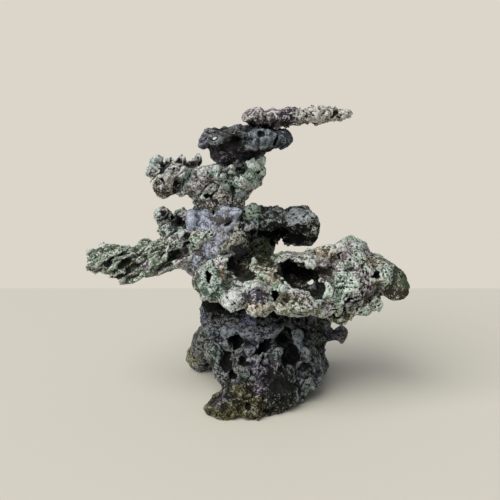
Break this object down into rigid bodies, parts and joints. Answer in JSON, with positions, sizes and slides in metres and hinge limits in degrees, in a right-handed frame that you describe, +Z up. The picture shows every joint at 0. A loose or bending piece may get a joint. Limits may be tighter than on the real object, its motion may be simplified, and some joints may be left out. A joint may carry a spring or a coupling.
{
  "type": "dry reef rock stack",
  "caption": "Free-standing stack of porous dry reef rocks bedded in grey mortar, with a wing to one side, a broad shelf to the other and a thin slab on top.",
  "frame": {"origin": "on the floor, under the middle of the bounding box", "axes": "+Z up; +X along the reef, from the wing towards the shelf; the face in the picture looks towards -Y"},
  "size_m": [0.454, 0.2034, 0.4023],
  "materials": {
    "sage_stone": "matte",
    "shaded_stone": "matte",
    "dark_stone": "matte",
    "sand_stone": "matte",
    "grey_mortar": "matte",
    "dark_mortar": "matte"
  },
  "bodies": {
    "root": {"base_rock": "shaded_stone", "back_rock": "dark_stone", "shelf_rock": "sage_stone", "arch_rock": "shaded_stone", "wing_rock": "sage_stone", "crown_rock": "sage_stone", "cap_rock": "dark_stone", "top_slab": "sand_stone", "bed_mortar": "dark_mortar", "core_mortar": "grey_mortar"}
  },
  "joints": []
}
